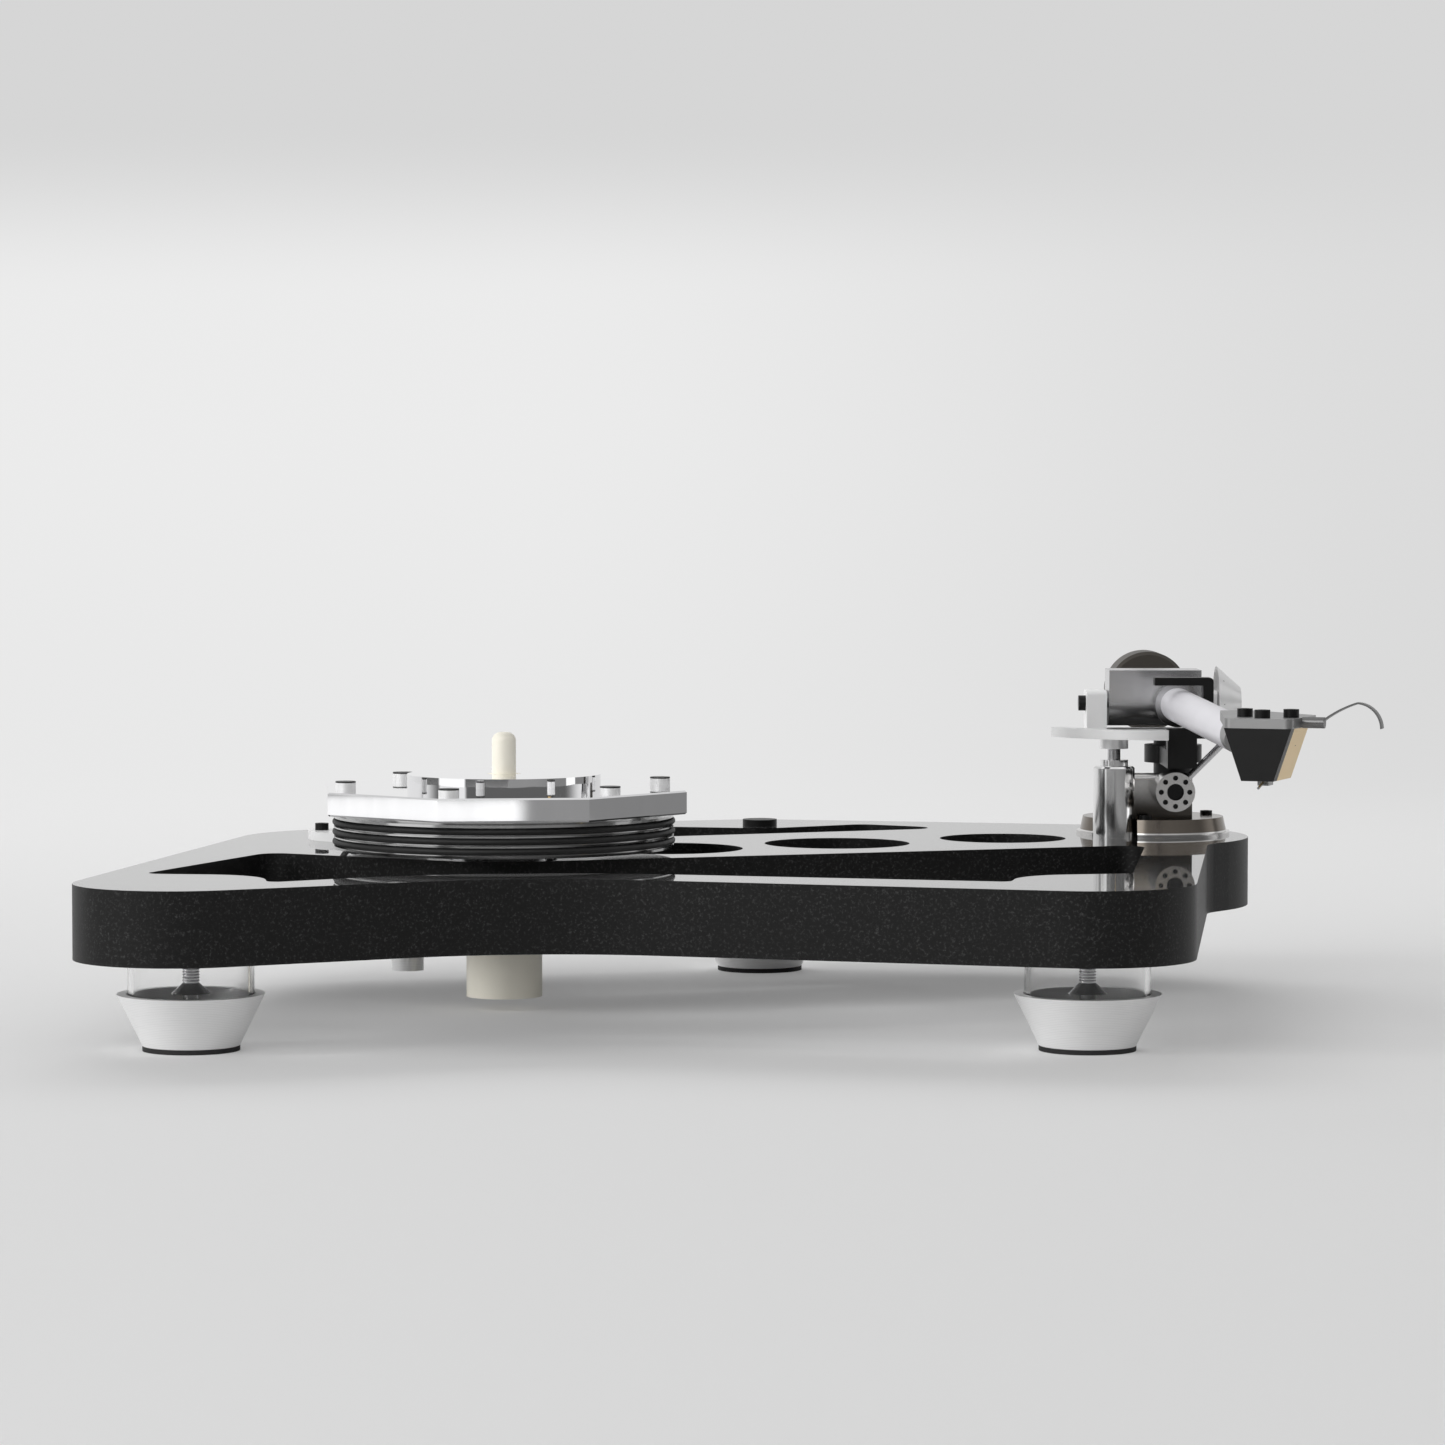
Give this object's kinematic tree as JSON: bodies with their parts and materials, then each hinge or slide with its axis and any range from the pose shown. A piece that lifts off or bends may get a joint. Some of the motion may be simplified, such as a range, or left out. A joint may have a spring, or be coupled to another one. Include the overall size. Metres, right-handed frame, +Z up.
{
  "type": "turntable record player",
  "caption": "Skeletal belt-drive turntable, platter lifted off, with a lobed plinth on cup feet, an eight-sided sub-platter, a spindle and a parked tonearm.",
  "frame": {"origin": "middle of the footprint's bounding box, on the surface the feet stand on", "axes": "+X to the tonearm's side, +Y to the rear, +Z up"},
  "size_m": [0.3548, 0.315, 0.102],
  "materials": {
    "speckled_core": "fine speckled satin",
    "gloss_skin": "gloss laminate",
    "polished_aluminium": "polished",
    "turned_aluminium": "fine turned satin",
    "pad_rubber": "matt",
    "pale_pad": "polished",
    "clear_ring": "clear",
    "steel": "satin",
    "ivory_ceramic": "smooth satin ceramic",
    "bronze": "plain",
    "belt_rubber": "matt",
    "black_metal": "satin black",
    "base_metal": "dark polished, bright foot",
    "arm_silver": "satin",
    "chrome": "mirror",
    "lilac_tube": "satin anodised",
    "dark_weight": "satin dark",
    "black_plastic": "satin",
    "amber_body": "satin amber",
    "stylus_metal": "fine"
  },
  "bodies": {
    "root": {"bottom_skin": "gloss_skin", "plinth_core": "speckled_core", "top_skin": "gloss_skin", "rear_foot_cap": "black_metal", "bearing_housing": "ivory_ceramic", "bearing_clamp_ring": "polished_aluminium", "lower_bush": "bronze", "upper_bush": "bronze", "thrust_ball": "steel", "motor_body": "black_metal", "motor_cover": "polished_aluminium", "motor_screws": "black_metal", "drive_belts": "belt_rubber", "power_socket": "turned_aluminium", "arm_base": "base_metal", "arm_base_screws": "black_metal", "arm_pillar": "black_metal", "arm_nut": "steel", "lift_column": "chrome", "cue_housing": "chrome", "arm_rest": "black_metal", "front_left_foot_cup": "turned_aluminium", "front_left_foot_pad": "pad_rubber", "front_left_foot_ring": "clear_ring", "front_left_foot_stud": "steel", "front_right_foot_cup": "turned_aluminium", "front_right_foot_pad": "pad_rubber", "front_right_foot_ring": "clear_ring", "front_right_foot_stud": "steel", "rear_foot_cup": "turned_aluminium", "rear_foot_pad": "pad_rubber", "rear_foot_ring": "clear_ring", "rear_foot_stud": "steel"},
    "platter_drive": {"sub_platter": "polished_aluminium", "record_spindle": "ivory_ceramic", "platter_pads": "pale_pad"},
    "motor_drive": {"motor_pulley": "polished_aluminium", "motor_shaft": "steel"},
    "yoke": {"arm_yoke": "arm_silver", "yoke_pin": "steel", "yoke_bearing_cap": "black_metal"},
    "dial": {"force_dial": "arm_silver"},
    "arm": {"bearing_block": "arm_silver", "pitch_axle": "steel", "arm_tube": "lilac_tube", "headshell": "arm_silver", "finger_lift": "steel", "cartridge_front": "black_plastic", "cartridge_body": "amber_body", "cartridge_bolts": "black_metal", "stylus": "stylus_metal", "counterweight_stub": "arm_silver"},
    "weight": {"counterweight": "dark_weight", "counterweight_screw": "steel"},
    "lift": {"lift_platform": "arm_silver", "lift_piston": "steel"},
    "lever": {"cue_barrel": "chrome", "cue_lever": "steel"}
  },
  "joints": [
    {"name": "platter_spin", "type": "hinge", "parent": "root", "child": "platter_drive", "pos_m": [-0.06289, 0.00403, 0.0703], "axis": [0, 0, 1], "continuous": true},
    {"name": "motor_spin", "type": "hinge", "parent": "root", "child": "motor_drive", "pos_m": [-0.10789, 0.06603, 0.0465], "axis": [0, 0, 1], "continuous": true},
    {"name": "arm_swing", "type": "hinge", "parent": "root", "child": "yoke", "pos_m": [0.14381, 0.08803, 0.0875], "axis": [0, 0, 1], "range_deg": [-54, 0]},
    {"name": "arm_pitch", "type": "hinge", "parent": "yoke", "child": "arm", "pos_m": [0.14381, 0.08803, 0.0875], "axis": [-1, 0, 0], "range_deg": [-1, 2]},
    {"name": "force_dial_turn", "type": "hinge", "parent": "yoke", "child": "dial", "pos_m": [0.14381, 0.08803, 0.0875], "axis": [1, 0, 0], "range_deg": [0, 270]},
    {"name": "counterweight_slide", "type": "slide", "parent": "arm", "child": "weight", "axis": [0, 1, 0], "range_m": [-0.012, 0.004]},
    {"name": "cue_lever_turn", "type": "hinge", "parent": "root", "child": "lever", "pos_m": [0.14231, 0.06233, 0.061], "axis": [0, 1, 0], "range_deg": [0, 60]},
    {"name": "lift_slide", "type": "slide", "parent": "root", "child": "lift", "axis": [0, 0, 1], "range_m": [-0.003, 0]}
  ],
  "couplings": [
    {"joint": "motor_spin", "follows": "platter_spin", "ratio": 7.5},
    {"joint": "lift_slide", "follows": "cue_lever_turn", "m_per_rad": -0.0028648}
  ]
}
